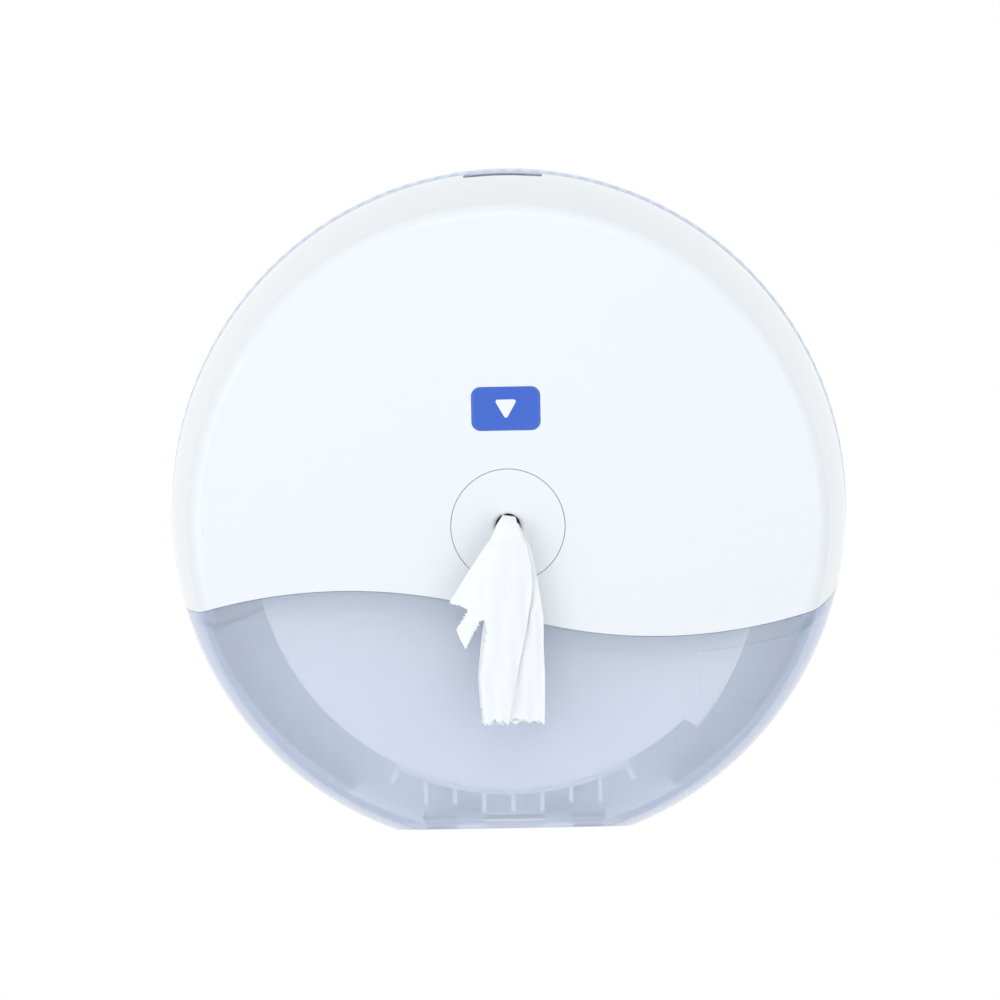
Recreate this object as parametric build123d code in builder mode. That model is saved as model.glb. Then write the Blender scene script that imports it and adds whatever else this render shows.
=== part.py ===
"""Round centrefeed toilet paper dispenser with its roll, in millimetres.

X runs to the right, Y into the wall and Z up. The wall is the plane Y = 0 and the front faces -Y.
The origin is the centre of the four wall screws, on the axis of the round body.
"""

from build123d import *
import os
from math import atan2, cos, degrees, pi, radians, sin, sqrt, tan

os.makedirs("parts", exist_ok=True)

# Paper roll, which the whole body is sized for
roll_r = 99.5
roll_l = 112.0
bore_r = 30.0
roll_back = 7.0
roll_drop = 4.9
roll_edge = 1.2
loose_from = -8.0
loose_to = -47.0
loose_lift = 6.0

# Room around the roll
side_room = 38.0
front_room = 19.0
base_room = 27.6

# Back plate
plate_t = 3.0
band_wall = 2.2
band_reach = 20.0
band_clear = 0.6
band_end_up = 18.3
rib_pitch = 6.6
rib_w = 3.2
rib_set_in = 0.9
rib_end_clear = 1.0
stiff_h = 2.8
stiff_t = 2.0
stiff_ring_r = 62.0
stiff_count = 8
wall_hole_r = 2.75
wall_hole_x = 150.0
wall_hole_z = 100.0
wall_pad_r = 7.0
wall_pad_h = 1.2

# Cover
cover_inset = 1.3
cover_back = 13.0
cover_wall = 2.6
crease_inset = 12.0
dome_rise = 12.0
side_bow = 3.0
crease_fillet = 7.0
base_draft = 6.0

# Wave where the white shell meets the smoked window
wave_x = -1.5
wave_z = -34.3
wave_half = 62.5
wave_rise = 9.9
seam_gap = 0.3
lap_t = 1.8
lap_up = 10.0
lap_down = 7.0
lap_bite = 0.3
lap_front = 22.0
clear = 0.3
window_screw_x = (-92.0, -38.0, 38.0, 92.0)

# Hinge at the bottom rear edge
hinge_y = -9.0
hinge_up = 4.6
knuckle_r = 3.2
rod_r = 1.5
rod_clear = 0.05
plate_lug = (12.0, 23.5)
cover_lug = (24.0, 36.0)
rod_past = 1.6
clip_r = 3.0
clip_t = 0.8

# Nozzle in the middle of the front
nozzle_r = 22.3
nozzle_gap = 0.25
hole_r = 4.8
lip_r = 1.6
flange_lap = 3.2
flange_t = 2.0
pad_w = 6.5
guard_t = 1.6
guard_h = 6.0
ring_t = 2.0
ring_lap = 1.8
ring_screw_out = 3.7
ring_screws = 3
funnel_mouth_r = 13.0
funnel_wall = 1.6
funnel_foot_r = 17.0
funnel_h = 13.0
stop_w = 3.6
stop_out = 1.6
turn = 30.0
turn_spare = 4.0

# Lock in the top wall
lock_w = 31.6
lock_l = 32.0
lock_y = -32.0
lock_corner = 5.0
lock_gap = 0.25
lock_sink = 0.5
lock_rim = 2.2
lock_rim_t = 1.8
lock_deep = 12.2
lock_pocket = 5.0
lock_side = 2.2
lock_notch_side = 6.6
lock_notch_deep = 17.2
slot_x = (-12.8, 9.4)
slot_w = 6.0
slide_travel = 8.0
slider_x = (-13.0, 3.0)
slider_w = 14.0
slider_t = 2.5
slider_corner = 1.5
prong_x = (-6.15, -1.85)
prong_w = 3.0
prong_d = 4.0
prong_sink = 2.6
finger_x = -7.0
finger_w = 4.0
finger_l = 14.0
finger_tip = 0.6
retainer_t = 1.8
lock_post_r = 2.4
lock_post_in = 0.35
keeper_x = (-3.5, 12.0)
keeper_drop = 8.0
keeper_t = 3.0
keeper_past = 6.0
keeper_slot = 7.0
keeper_web = 2.4
keeper_web_h = 14.0
keeper_corner = 2.5

# Cradle that the roll lies on
cradle_gap = 0.4
cradle_t = 2.2
cradle_half = 44.0
cradle_short = 7.0
cradle_lip = 8.0
cradle_foot_t = 2.5
cradle_foot_half = 38.0
cradle_foot_drop = 15.0
cradle_ribs = 7
cradle_rib_pitch = 11.4
cradle_rib_t = 1.6
cradle_rib_drop = 6.1
cradle_keel_drop = 9.5
cradle_keels = 3
cradle_screw_x = 27.0
cradle_screw_drop = 11.1

# Self-tapping screws
screw_r = 1.2
screw_head_r = 2.4
screw_head_h = 1.6
screw_l = 4.2
pilot_clear = 0.05
pilot_floor = 0.6
hole_clear = 0.3

# Gathered paper: its folds, and the strand and the end that hangs out of the nozzle as stations
neck_clear = 0.6
tail_gap = 0.3
folds = 8
fold_bulge = 0.22
tail_front = 6.0
neck_past = 1.0
tail_drop = 74.0
# Strand stations: X, rise over the roll's axis, way behind its end, half width, half thickness, twist
strand_steps = (
    (19.0, -14.5, 71.0, 6.2, 4.5, 0.0),
    (14.0, -10.0, 50.0, 5.6, 4.8, 15.0),
    (6.0, -0.1, 26.0, 5.0, 4.5, 30.0),
)
# Tail stations outside the nozzle: X, way back from its front, Z, tilt, half width, half thickness
tail_steps = (
    (0.3, 2.0, -2.5, 45.0, 5.0, 3.2),
    (0.6, 0.0, -11.0, 90.0, 7.5, 3.2),
    (0.2, 0.0, -0.42 * tail_drop, 90.0, 10.5, 3.2),
    (1.2, 1.0, -tail_drop, 90.0, 12.4, 3.2),
)
flap_t = 2.4
flap_outline = (
    (2.0, -8.0),
    (-7.0, -13.0),
    (-21.5, -28.5),
    (-20.5, -31.5),
    (-15.5, -31.0),
    (-20.0, -41.0),
    (-16.0, -46.0),
    (-10.0, -36.0),
    (2.0, -30.0),
)

# Worked out from the sizes above
body_r = roll_r + side_room
base_drop = roll_r + roll_drop + base_room
depth = roll_back + roll_l + front_room
roll_low = -roll_r - roll_drop
cover_r = body_r - cover_inset
crease_r = cover_r - crease_inset
crown_y = -depth
crease_y = crown_y + dome_rise
dome_r = (crease_r**2 + dome_rise**2) / (2 * dome_rise)
chord = sqrt((cover_r - crease_r) ** 2 + (crease_y + cover_back) ** 2)
side_r = (chord**2 / 4 + side_bow**2) / (2 * side_bow)
side_tilt = atan2(cover_r - crease_r, -cover_back - crease_y)
side_mid = ((cover_r + crease_r) / 2, (crease_y - cover_back) / 2)
side_x = side_mid[0] - (side_r - side_bow) * cos(side_tilt)
side_y = side_mid[1] + (side_r - side_bow) * sin(side_tilt)
neck_r = hole_r - neck_clear
band_r = cover_r - cover_wall - band_clear
hinge_z = -base_drop + hinge_up
wave_r = (wave_half**2 + wave_rise**2) / (2 * wave_rise)
cradle_l = roll_back + roll_l - plate_t - cradle_short
flange_r = nozzle_r + flange_lap
pad_r = flange_r + pad_w
ring_in_r = nozzle_r - ring_lap
ring_screw_r = flange_r + ring_screw_out
lock_post_x = lock_w / 2 - lock_gap - lock_side - lock_post_r - lock_post_in
lock_post_y = lock_l / 2 - lock_gap - lock_side - lock_post_r - lock_post_in
lock_floor = cover_r - lock_deep
lock_roof = lock_floor + lock_pocket
keeper_top = lock_floor - keeper_drop
far = 1.15 * body_r
through = 1.2 * depth


def dome_y(r, inset=0.0):
    """Y of the front dome, drawn inwards by inset, at the distance r from the axis."""
    return crown_y + dome_r - sqrt((dome_r - inset) ** 2 - r**2)


def cover_section(inset):
    """Half section of the cover's outside, drawn inwards by inset: a domed front and bowed sides."""
    with BuildSketch() as half:
        with Locations((0, crown_y + dome_r)):
            Circle(dome_r - inset)
        with Locations((side_x, side_y)):
            Circle(side_r - inset, mode=Mode.INTERSECT)
        with Locations((0, -cover_back)):
            Rectangle(far, through, align=(Align.MIN, Align.MAX), mode=Mode.INTERSECT)
        crease = half.vertices().sort_by_distance((crease_r, crease_y, 0))[0]
        fillet(crease, crease_fillet - inset)
    return half.sketch


def below_base(inset):
    """Side view of all that lies under the drafted flat base, raised by inset."""
    low = -base_drop + inset
    rise = through * tan(radians(base_draft))
    with BuildSketch(Plane.YZ) as side:
        with BuildLine():
            Polyline((0, low), (-through, low + rise), (-through, -far), (0, -far), close=True)
        make_face()
    return side.sketch


def cover_body(inset):
    """Solid of the cover's outside drawn inwards by inset: a domed drum with a flat base."""
    with BuildPart() as body:
        revolve(cover_section(inset), axis=Axis.Y)
        extrude(below_base(inset), amount=far, both=True, mode=Mode.SUBTRACT)
    return body.part


def wave_region(lift, reach):
    """Front view of all between the wave line raised by lift and a level reach from its middle."""
    crest = (wave_x - wave_half, wave_z + wave_rise + lift)
    middle = (wave_x, wave_z + lift)
    trough = (wave_x + wave_half, wave_z - wave_rise + lift)
    left = (-far, crest[1] - wave_r + sqrt(wave_r**2 - (far + crest[0]) ** 2))
    right = (far, trough[1] + wave_r - sqrt(wave_r**2 - (far - trough[0]) ** 2))
    with BuildSketch(Plane.XZ) as front:
        with BuildLine():
            ThreePointArc(left, crest, middle)
            ThreePointArc(middle, trough, right)
            Polyline(right, (far, wave_z + reach), (-far, wave_z + reach), left)
        make_face()
    return front.sketch


def wave_height(x):
    """Z of the wave line at x."""
    if x < wave_x:
        return wave_z + wave_rise - wave_r + sqrt(wave_r**2 - (x - wave_x + wave_half) ** 2)
    return wave_z - wave_rise + wave_r - sqrt(wave_r**2 - (x - wave_x - wave_half) ** 2)


def wave_band(low, high):
    """Solid between two copies of the wave line, raised by low and by high, from back to front."""
    with BuildPart() as band:
        extrude(wave_region(low, far), amount=through)
        extrude(wave_region(high, 2 * far), amount=through, mode=Mode.SUBTRACT)
    return band.part


def screws(place, spots, side):
    """Pan-head screws at the spots of a plane, their heads on the side, 1 or -1, of its normal."""
    with BuildPart() as group:
        with BuildSketch(place):
            with Locations(*spots):
                Circle(screw_head_r)
        extrude(amount=side * screw_head_h)
        head_edges = group.edges().group_by(Axis(place.origin, place.z_dir * side))[-1]
        fillet(head_edges, screw_head_h / 2)
        with BuildSketch(place):
            with Locations(*spots):
                Circle(screw_r)
        extrude(amount=-side * screw_l)
    return group.part


def ring(plane, outer, inner, thick):
    """Flat ring on the plane, thick along its normal."""
    with BuildPart() as band:
        with BuildSketch(plane):
            Circle(outer)
            Circle(inner, mode=Mode.SUBTRACT)
        extrude(amount=thick)
    return band.part


def folded_ring(place, half_w, half_t, turned=0.0):
    """Cross-section of gathered paper: arcs that bulge outwards between points of an ellipse."""
    step = 360 / folds
    points = []
    for i in range(2 * folds + 1):
        swell = 1 + fold_bulge * (i % 2)
        angle = radians(turned + i * step / 2)
        points.append((half_w * swell * cos(angle), half_t * swell * sin(angle)))
    with BuildSketch(place) as section:
        with BuildLine():
            for i in range(folds):
                ThreePointArc(*points[2 * i : 2 * i + 3])
        make_face()
    return section.sketch


def facing_front(y):
    """Plane parallel to the wall at y, whose normal points to the front."""
    return Plane(origin=(0, y, 0), x_dir=(1, 0, 0), z_dir=(0, -1, 0))


cover_outside = cover_body(0.0)
cover_inside = cover_body(cover_wall)

cradle_screw_spots = [(x, roll_low - cradle_screw_drop) for x in (-cradle_screw_x, cradle_screw_x)]

# Back plate: wall disc with a ribbed band that the cover closes over, hinge lugs and lock keeper
with BuildPart() as back_plate:
    with BuildSketch(Plane.XZ):
        Circle(body_r)
        with Locations((0, -base_drop)):
            Rectangle(2 * far, far, align=(Align.CENTER, Align.MAX), mode=Mode.SUBTRACT)
    extrude(amount=plate_t)
    add(ring(facing_front(-plate_t), band_r, band_r - band_wall, band_reach - plate_t))
    rib_r = body_r - rib_set_in
    rib_l = cover_back - plate_t - rib_end_clear
    rib_count = round(2 * pi * rib_r / rib_pitch)
    with BuildSketch(facing_front(-plate_t)):
        with PolarLocations((rib_r + band_r - band_wall / 2) / 2, rib_count):
            Rectangle(rib_r - band_r + band_wall / 2, rib_w)
    extrude(amount=rib_l)
    with BuildSketch(facing_front(-plate_t)):
        with Locations((0, band_end_up - base_drop)):
            Rectangle(2 * far, far, align=(Align.CENTER, Align.MAX))
    extrude(amount=band_reach, mode=Mode.SUBTRACT)
    with BuildSketch(facing_front(rib_end_clear - cover_back)):
        with Locations((0, body_r)):
            Rectangle(lock_w + 2 * lock_notch_side, 2 * lock_notch_deep)
    extrude(amount=band_reach, mode=Mode.SUBTRACT)
    add(ring(facing_front(-plate_t), stiff_ring_r + stiff_t, stiff_ring_r, stiff_h))
    with BuildSketch(facing_front(-plate_t)):
        with PolarLocations((band_r + stiff_ring_r) / 2, stiff_count, start_angle=180 / stiff_count):
            Rectangle(band_r - stiff_ring_r - band_wall, stiff_t)
    extrude(amount=stiff_h)
    with BuildSketch(facing_front(-plate_t)):
        with Locations((0, roll_low + 2 * cradle_lip)):
            Rectangle(2 * (cradle_half + cradle_lip), far, align=(Align.CENTER, Align.MAX))
    extrude(amount=stiff_h, mode=Mode.SUBTRACT)
    with BuildSketch(facing_front(-plate_t)):
        with GridLocations(wall_hole_x, wall_hole_z, 2, 2):
            Circle(wall_pad_r)
    extrude(amount=wall_pad_h)
    with BuildSketch(Plane.XZ):
        with GridLocations(wall_hole_x, wall_hole_z, 2, 2):
            Circle(wall_hole_r)
    extrude(amount=band_reach, mode=Mode.SUBTRACT)
    with BuildSketch(Plane.YZ):
        with Locations((hinge_y, hinge_z)):
            Circle(knuckle_r)
            Rectangle(-hinge_y, 2 * knuckle_r, align=(Align.MIN, Align.CENTER))
    lug = extrude(amount=plate_lug[1] - plate_lug[0], mode=Mode.PRIVATE)
    for left in (plate_lug[0], -plate_lug[1]):
        add(lug.moved(Location((left, 0, 0))))
    with BuildSketch(Plane.YZ):
        with Locations((hinge_y, hinge_z)):
            Circle(rod_r + rod_clear)
    extrude(amount=far, both=True, mode=Mode.SUBTRACT)
    keeper_front = lock_y - keeper_slot / 2 - keeper_past
    with BuildSketch(Plane.XY.offset(keeper_top - keeper_t)):
        with Locations((keeper_x[0], -plate_t)):
            Rectangle(keeper_x[1] - keeper_x[0], -plate_t - keeper_front, align=(Align.MIN, Align.MAX))
        fillet(vertices().group_by(Axis.Y)[0], keeper_corner)
        with Locations((keeper_x[0], lock_y)):
            slot_l = slide_travel + finger_w / 2
            Rectangle(slot_l, keeper_slot, align=(Align.MIN, Align.CENTER), mode=Mode.SUBTRACT)
    extrude(amount=keeper_t)
    with BuildSketch(Plane.YZ.offset(keeper_x[1] - keeper_web)):
        with BuildLine():
            Polyline(
                (-plate_t, keeper_top - keeper_t - keeper_web_h),
                (-plate_t, keeper_top - keeper_t / 2),
                (keeper_front + keeper_past, keeper_top - keeper_t / 2),
                close=True,
            )
        make_face()
    extrude(amount=keeper_web)
    with BuildSketch(facing_front(-pilot_floor)):
        with Locations(*cradle_screw_spots):
            Circle(screw_r + pilot_clear)
    extrude(amount=plate_t, mode=Mode.SUBTRACT)
back_plate.part.label = "back_plate"
export_step(back_plate.part, "parts/back_plate.step")

# Steel hinge rod with its two push-on clips
with BuildPart() as hinge_rod:
    rod_half = cover_lug[1] + rod_past
    with BuildSketch(Plane.YZ):
        with Locations((hinge_y, hinge_z)):
            Circle(rod_r)
    extrude(amount=rod_half, both=True)
    chamfer(hinge_rod.edges().filter_by(GeomType.CIRCLE), rod_r / 4)
hinge_rod.part.label = "hinge_rod"
export_step(hinge_rod.part, "parts/hinge_rod.step")

with BuildPart() as rod_clips:
    for start in (cover_lug[1] + clear, -cover_lug[1] - clear - clip_t):
        with BuildSketch(Plane.YZ.offset(start)):
            with Locations((hinge_y, hinge_z)):
                Circle(clip_r)
                Circle(rod_r + rod_clear, mode=Mode.SUBTRACT)
        extrude(amount=clip_t)
rod_clips.part.label = "rod_clips"
export_step(rod_clips.part, "parts/rod_clips.step")

# White cover shell: all of the cover above the wave line
window_screw_spots = [(x, wave_height(x) + lap_up / 2) for x in window_screw_x]
ring_screw_spots = []
for i in range(ring_screws):
    angle = radians(90 + i * 360 / ring_screws)
    ring_screw_spots.append((ring_screw_r * cos(angle), ring_screw_r * sin(angle)))
flange_y = dome_y(flange_r, cover_wall) + clear
flange_back_y = flange_y + flange_t
pad_y = flange_back_y + clear
ring_y = pad_y + ring_t
lap_inset = cover_wall + clear + lap_t


def lock_prism(grow):
    """Upright prism over the plan of the lock, grown on every side."""
    with BuildPart() as prism:
        with BuildSketch(Plane.XY.offset(lock_floor)):
            with Locations((0, lock_y)):
                RectangleRounded(lock_w + 2 * grow, lock_l + 2 * grow, lock_corner + grow)
        extrude(amount=far)
    return prism.part


with BuildPart() as cover_shell:
    add(cover_outside)
    add(cover_inside, mode=Mode.SUBTRACT)
    with BuildSketch(facing_front(pad_y)):
        Circle(pad_r + guard_t)
    extrude(until=Until.NEXT)
    add(ring(facing_front(ring_y + guard_h - ring_t), pad_r + guard_t, pad_r, guard_h))
    extrude(wave_region(seam_gap / 2, -far), amount=through, mode=Mode.SUBTRACT)
    with BuildSketch(facing_front(pad_y)):
        Circle(flange_r + 2 * clear)
    extrude(amount=flange_t + 2 * clear, mode=Mode.SUBTRACT)
    with BuildSketch(Plane.XY):
        with Locations((flange_r, pad_y)):
            Rectangle(stop_out + clear, flange_t + 2 * clear, align=(Align.MIN, Align.MAX))
    stop_arc = turn + turn_spare + degrees(stop_w / flange_r)
    notch = revolve(axis=Axis.Y, revolution_arc=stop_arc, mode=Mode.PRIVATE)
    add(notch.rotate(Axis.Y, 90 - stop_arc / 2 + turn / 2), mode=Mode.SUBTRACT)
    with BuildSketch(Plane.XZ):
        Circle(nozzle_r)
    extrude(amount=through, mode=Mode.SUBTRACT)
    add(lock_prism(0.0), mode=Mode.SUBTRACT)
    with BuildSketch(facing_front(pad_y)):
        with Locations(*ring_screw_spots):
            Circle(screw_r + pilot_clear)
    extrude(amount=screw_l - ring_t + clear, mode=Mode.SUBTRACT)
    for x, z in window_screw_spots:
        skin_y = dome_y(sqrt(x**2 + z**2), cover_wall)
        with BuildSketch(facing_front(skin_y + 2 * clear)):
            with Locations((x, z)):
                Circle(screw_r + pilot_clear)
        extrude(amount=cover_wall - pilot_floor + 2 * clear, mode=Mode.SUBTRACT)
cover_shell.part.label = "cover_shell"
export_step(cover_shell.part, "parts/cover_shell.step")

# Smoked window: the rest of the cover, with a lap behind the shell and the hinge knuckles
with BuildPart() as lap_root:
    add(cover_body(cover_wall - lap_bite))
    add(wave_band(-lap_down, -seam_gap / 2), mode=Mode.INTERSECT)
    add(cover_body(lap_inset), mode=Mode.SUBTRACT)

with BuildPart() as cover_window:
    add(cover_body(cover_wall + clear))
    add(cover_body(lap_inset), mode=Mode.SUBTRACT)
    add(wave_band(-lap_down, lap_up), mode=Mode.INTERSECT)
    add(lap_root.part)
    with BuildSketch(Plane.XZ):
        Rectangle(2 * far, 2 * far)
    extrude(amount=lap_front, mode=Mode.SUBTRACT)
    with BuildSketch(Plane.XZ):
        Circle(pad_r + guard_t + 2 * clear)
        with Locations(*window_screw_spots):
            Circle(screw_r + hole_clear)
    extrude(amount=through, mode=Mode.SUBTRACT)
    window_skin = extrude(wave_region(-seam_gap / 2, -2 * far), amount=through, mode=Mode.PRIVATE)
    add(window_skin & (cover_outside - cover_inside))
    with BuildSketch(Plane.YZ):
        with Locations((hinge_y, hinge_z)):
            Circle(knuckle_r)
            with Locations((0, -knuckle_r)):
                Rectangle(cover_back + hinge_y + cover_wall, knuckle_r, align=(Align.MAX, Align.MIN))
    knuckle = extrude(amount=cover_lug[1] - cover_lug[0], mode=Mode.PRIVATE)
    for left in (cover_lug[0], -cover_lug[1]):
        add(knuckle.moved(Location((left, 0, 0))))
    with BuildSketch(Plane.YZ):
        with Locations((hinge_y, hinge_z)):
            Circle(rod_r + rod_clear)
    extrude(amount=far, both=True, mode=Mode.SUBTRACT)
cover_window.part.label = "cover_window"
export_step(cover_window.part, "parts/cover_window.step")

# Screws that hold the window's lap to the shell
with BuildPart() as window_screws:
    for x, z in window_screw_spots:
        seat_y = dome_y(sqrt(x**2 + z**2) + screw_head_r, lap_inset)
        add(screws(facing_front(seat_y), [(x, z)], -1))
window_screws.part.label = "window_screws"
export_step(window_screws.part, "parts/window_screws.step")

# Nozzle: flush disc that turns in the shell between two stops, with its funnel behind it
with BuildPart() as nozzle_disc:
    with BuildSketch(facing_front(flange_y)):
        Circle(nozzle_r - nozzle_gap)
    extrude(amount=through)
    add(cover_outside, mode=Mode.INTERSECT)
    with BuildSketch(facing_front(flange_back_y)):
        Circle(flange_r)
        with Locations((0, -flange_r)):
            Rectangle(stop_w, 2 * stop_out)
    extrude(amount=flange_t)
    with BuildSketch(Plane.XZ):
        Circle(hole_r)
    extrude(amount=through, mode=Mode.SUBTRACT)
    fillet(nozzle_disc.edges().filter_by(GeomType.CIRCLE).sort_by(Axis.Y)[0], lip_r)
nozzle_disc.part.label = "nozzle_disc"
export_step(nozzle_disc.part, "parts/nozzle_disc.step")

with BuildPart() as nozzle_funnel:
    with BuildSketch(Plane.XY):
        with BuildLine():
            mouth_y = flange_back_y + funnel_h
            foot_top = flange_back_y + funnel_wall
            waist_r = (hole_r * 3 + funnel_mouth_r) / 4
            waist_y = (flange_back_y + mouth_y) / 2
            ThreePointArc((hole_r, flange_back_y), (waist_r, waist_y), (funnel_mouth_r, mouth_y))
            Line((funnel_mouth_r, mouth_y), (funnel_mouth_r + funnel_wall, mouth_y))
            ThreePointArc(
                (funnel_mouth_r + funnel_wall, mouth_y),
                (waist_r + funnel_wall, waist_y),
                (hole_r + funnel_wall, foot_top),
            )
            Polyline(
                (hole_r + funnel_wall, foot_top),
                (funnel_foot_r, foot_top),
                (funnel_foot_r, flange_back_y),
                (hole_r, flange_back_y),
            )
        make_face()
    revolve(axis=Axis.Y)
nozzle_funnel.part.label = "nozzle_funnel"
export_step(nozzle_funnel.part, "parts/nozzle_funnel.step")

with BuildPart() as nozzle_ring:
    add(ring(facing_front(ring_y), pad_r - clear, ring_in_r, ring_t))
    with BuildSketch(facing_front(ring_y)):
        with Locations(*ring_screw_spots):
            Circle(screw_r + hole_clear)
    extrude(amount=ring_t, mode=Mode.SUBTRACT)
nozzle_ring.part.label = "nozzle_ring"
export_step(nozzle_ring.part, "parts/nozzle_ring.step")

with BuildPart() as nozzle_screws:
    add(screws(facing_front(ring_y), ring_screw_spots, -1))
nozzle_screws.part.label = "nozzle_screws"
export_step(nozzle_screws.part, "parts/nozzle_screws.step")

# Lock: grey insert in the top wall, with a slider whose finger catches behind the keeper
lock_post_spots = []
for x in (-lock_post_x, lock_post_x):
    for y in (-lock_post_y, lock_post_y):
        lock_post_spots.append((x, lock_y + y))

with BuildPart() as lock_plug:
    add(lock_prism(-lock_gap))
    add(cover_body(lock_sink), mode=Mode.INTERSECT)

with BuildPart() as lock_housing:
    add(lock_prism(lock_rim))
    add(cover_body(cover_wall + clear), mode=Mode.INTERSECT)
    add(cover_body(cover_wall + clear + lock_rim_t), mode=Mode.SUBTRACT)
    add(lock_plug.part)
    with BuildSketch(Plane.XY.offset(lock_floor)):
        with Locations((0, lock_y)):
            inside = 2 * (lock_gap + lock_side)
            RectangleRounded(lock_w - inside, lock_l - inside, lock_corner - lock_side)
        with Locations(*lock_post_spots):
            Circle(lock_post_r, mode=Mode.SUBTRACT)
    extrude(amount=lock_pocket, mode=Mode.SUBTRACT)
    with BuildSketch(Plane.XY.offset(lock_roof)):
        with Locations(((slot_x[0] + slot_x[1]) / 2, lock_y)):
            RectangleRounded(slot_x[1] - slot_x[0], slot_w, slot_w / 4)
    extrude(amount=far, mode=Mode.SUBTRACT)
    with BuildSketch(Plane.XY.offset(lock_floor)):
        with Locations(*lock_post_spots):
            Circle(screw_r + pilot_clear)
    extrude(amount=screw_l - retainer_t + clear, mode=Mode.SUBTRACT)
lock_housing.part.label = "lock_housing"
export_step(lock_housing.part, "parts/lock_housing.step")

with BuildPart() as lock_slider:
    with BuildSketch(Plane.XY.offset(lock_floor + clear)):
        with Locations(((slider_x[0] + slider_x[1]) / 2, lock_y)):
            RectangleRounded(slider_x[1] - slider_x[0], slider_w, slider_corner)
    extrude(amount=slider_t)
    with BuildSketch(Plane.XY.offset(lock_floor + clear)):
        with Locations(*[(x, lock_y) for x in prong_x]):
            Rectangle(prong_w, prong_d)
    extrude(amount=lock_deep - clear - prong_sink)
    with BuildSketch(Plane.XY.offset(lock_floor + clear)):
        with Locations((finger_x, lock_y)):
            Rectangle(finger_w, finger_w)
    extrude(amount=-finger_l)
    chamfer(lock_slider.faces().sort_by(Axis.Z)[0].edges(), finger_tip)
lock_slider.part.label = "lock_slider"
export_step(lock_slider.part, "parts/lock_slider.step")

with BuildPart() as lock_retainer:
    with BuildSketch(Plane.XY.offset(lock_floor)):
        with Locations((0, lock_y)):
            RectangleRounded(lock_w - 2 * lock_gap, lock_l - 2 * lock_gap, lock_corner - lock_gap)
        with Locations(*lock_post_spots):
            Circle(screw_r + hole_clear, mode=Mode.SUBTRACT)
        with Locations((finger_x + slide_travel / 2, lock_y)):
            Rectangle(finger_w + slide_travel + 5 * clear, slot_w, mode=Mode.SUBTRACT)
    extrude(amount=-retainer_t)
lock_retainer.part.label = "lock_retainer"
export_step(lock_retainer.part, "parts/lock_retainer.step")

with BuildPart() as lock_screws:
    add(screws(Plane.XY.offset(lock_floor - retainer_t), lock_post_spots, -1))
lock_screws.part.label = "lock_screws"
export_step(lock_screws.part, "parts/lock_screws.step")

# Cradle: curved shelf under the roll, on ribs, screwed to the back plate
shelf_r = roll_r + cradle_gap
with BuildPart() as roll_cradle:
    with BuildSketch(facing_front(-plate_t)):
        with Locations((0, -roll_drop)):
            Circle(shelf_r + cradle_t)
            Rectangle(2 * cradle_half, far, align=(Align.CENTER, Align.MAX), mode=Mode.INTERSECT)
            for side in (-1, 1):
                lean = atan2(side * cradle_half, sqrt(shelf_r**2 - cradle_half**2))
                reach = shelf_r + cradle_lip / 2
                with Locations(Location((reach * sin(lean), -reach * cos(lean), 0), (0, 0, degrees(lean)))):
                    Rectangle(cradle_t, cradle_lip)
        for i in range(cradle_ribs):
            place = i - (cradle_ribs - 1) / 2
            keel = abs(place) <= (cradle_keels - 1) / 2
            low = roll_low - (cradle_keel_drop if keel else cradle_rib_drop)
            with Locations((place * cradle_rib_pitch, low)):
                Rectangle(cradle_rib_t, roll_r / 2, align=(Align.CENTER, Align.MIN))
        with Locations((0, -roll_drop)):
            Circle(shelf_r, mode=Mode.SUBTRACT)
    extrude(amount=cradle_l)
    with BuildSketch(facing_front(-plate_t)):
        with Locations((0, roll_low - cradle_foot_drop)):
            Rectangle(2 * cradle_foot_half, roll_r / 2, align=(Align.CENTER, Align.MIN))
        with Locations((0, -roll_drop)):
            Circle(shelf_r, mode=Mode.SUBTRACT)
    extrude(amount=cradle_foot_t)
    with BuildSketch(facing_front(-plate_t)):
        with Locations(*cradle_screw_spots):
            Circle(screw_r + hole_clear)
    extrude(amount=cradle_foot_t, mode=Mode.SUBTRACT)
roll_cradle.part.label = "roll_cradle"
export_step(roll_cradle.part, "parts/roll_cradle.step")

with BuildPart() as cradle_screws:
    add(screws(facing_front(-plate_t - cradle_foot_t), cradle_screw_spots, 1))
cradle_screws.part.label = "cradle_screws"
export_step(cradle_screws.part, "parts/cradle_screws.step")

# Paper roll with its loose outer end, wound round an empty middle
def on_roll(angle, lift):
    """Point of the roll's end face at the angle from +X, lifted off its winding."""
    turned = radians(angle)
    return ((roll_r + lift) * cos(turned), (roll_r + lift) * sin(turned) - roll_drop)


with BuildPart() as toilet_roll:
    with BuildSketch(facing_front(-roll_back)):
        with Locations((0, -roll_drop)):
            Circle(roll_r)
        with BuildLine():
            ThreePointArc(
                on_roll(loose_from, 0.0),
                on_roll((loose_from + loose_to) / 2, loose_lift * 0.4),
                on_roll(loose_to, loose_lift),
            )
            Polyline(on_roll(loose_to, loose_lift), on_roll(loose_to - 1, 0.0), (0, -roll_drop))
            Line((0, -roll_drop), on_roll(loose_from, 0.0))
        make_face()
        with Locations((0, -roll_drop)):
            Circle(bore_r, mode=Mode.SUBTRACT)
    extrude(amount=roll_l)
    chamfer(toilet_roll.faces().sort_by(Axis.Y)[0].edges().sort_by(SortBy.LENGTH)[-1], roll_edge)
toilet_roll.part.label = "toilet_roll"
export_step(toilet_roll.part, "parts/toilet_roll.step")

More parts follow.
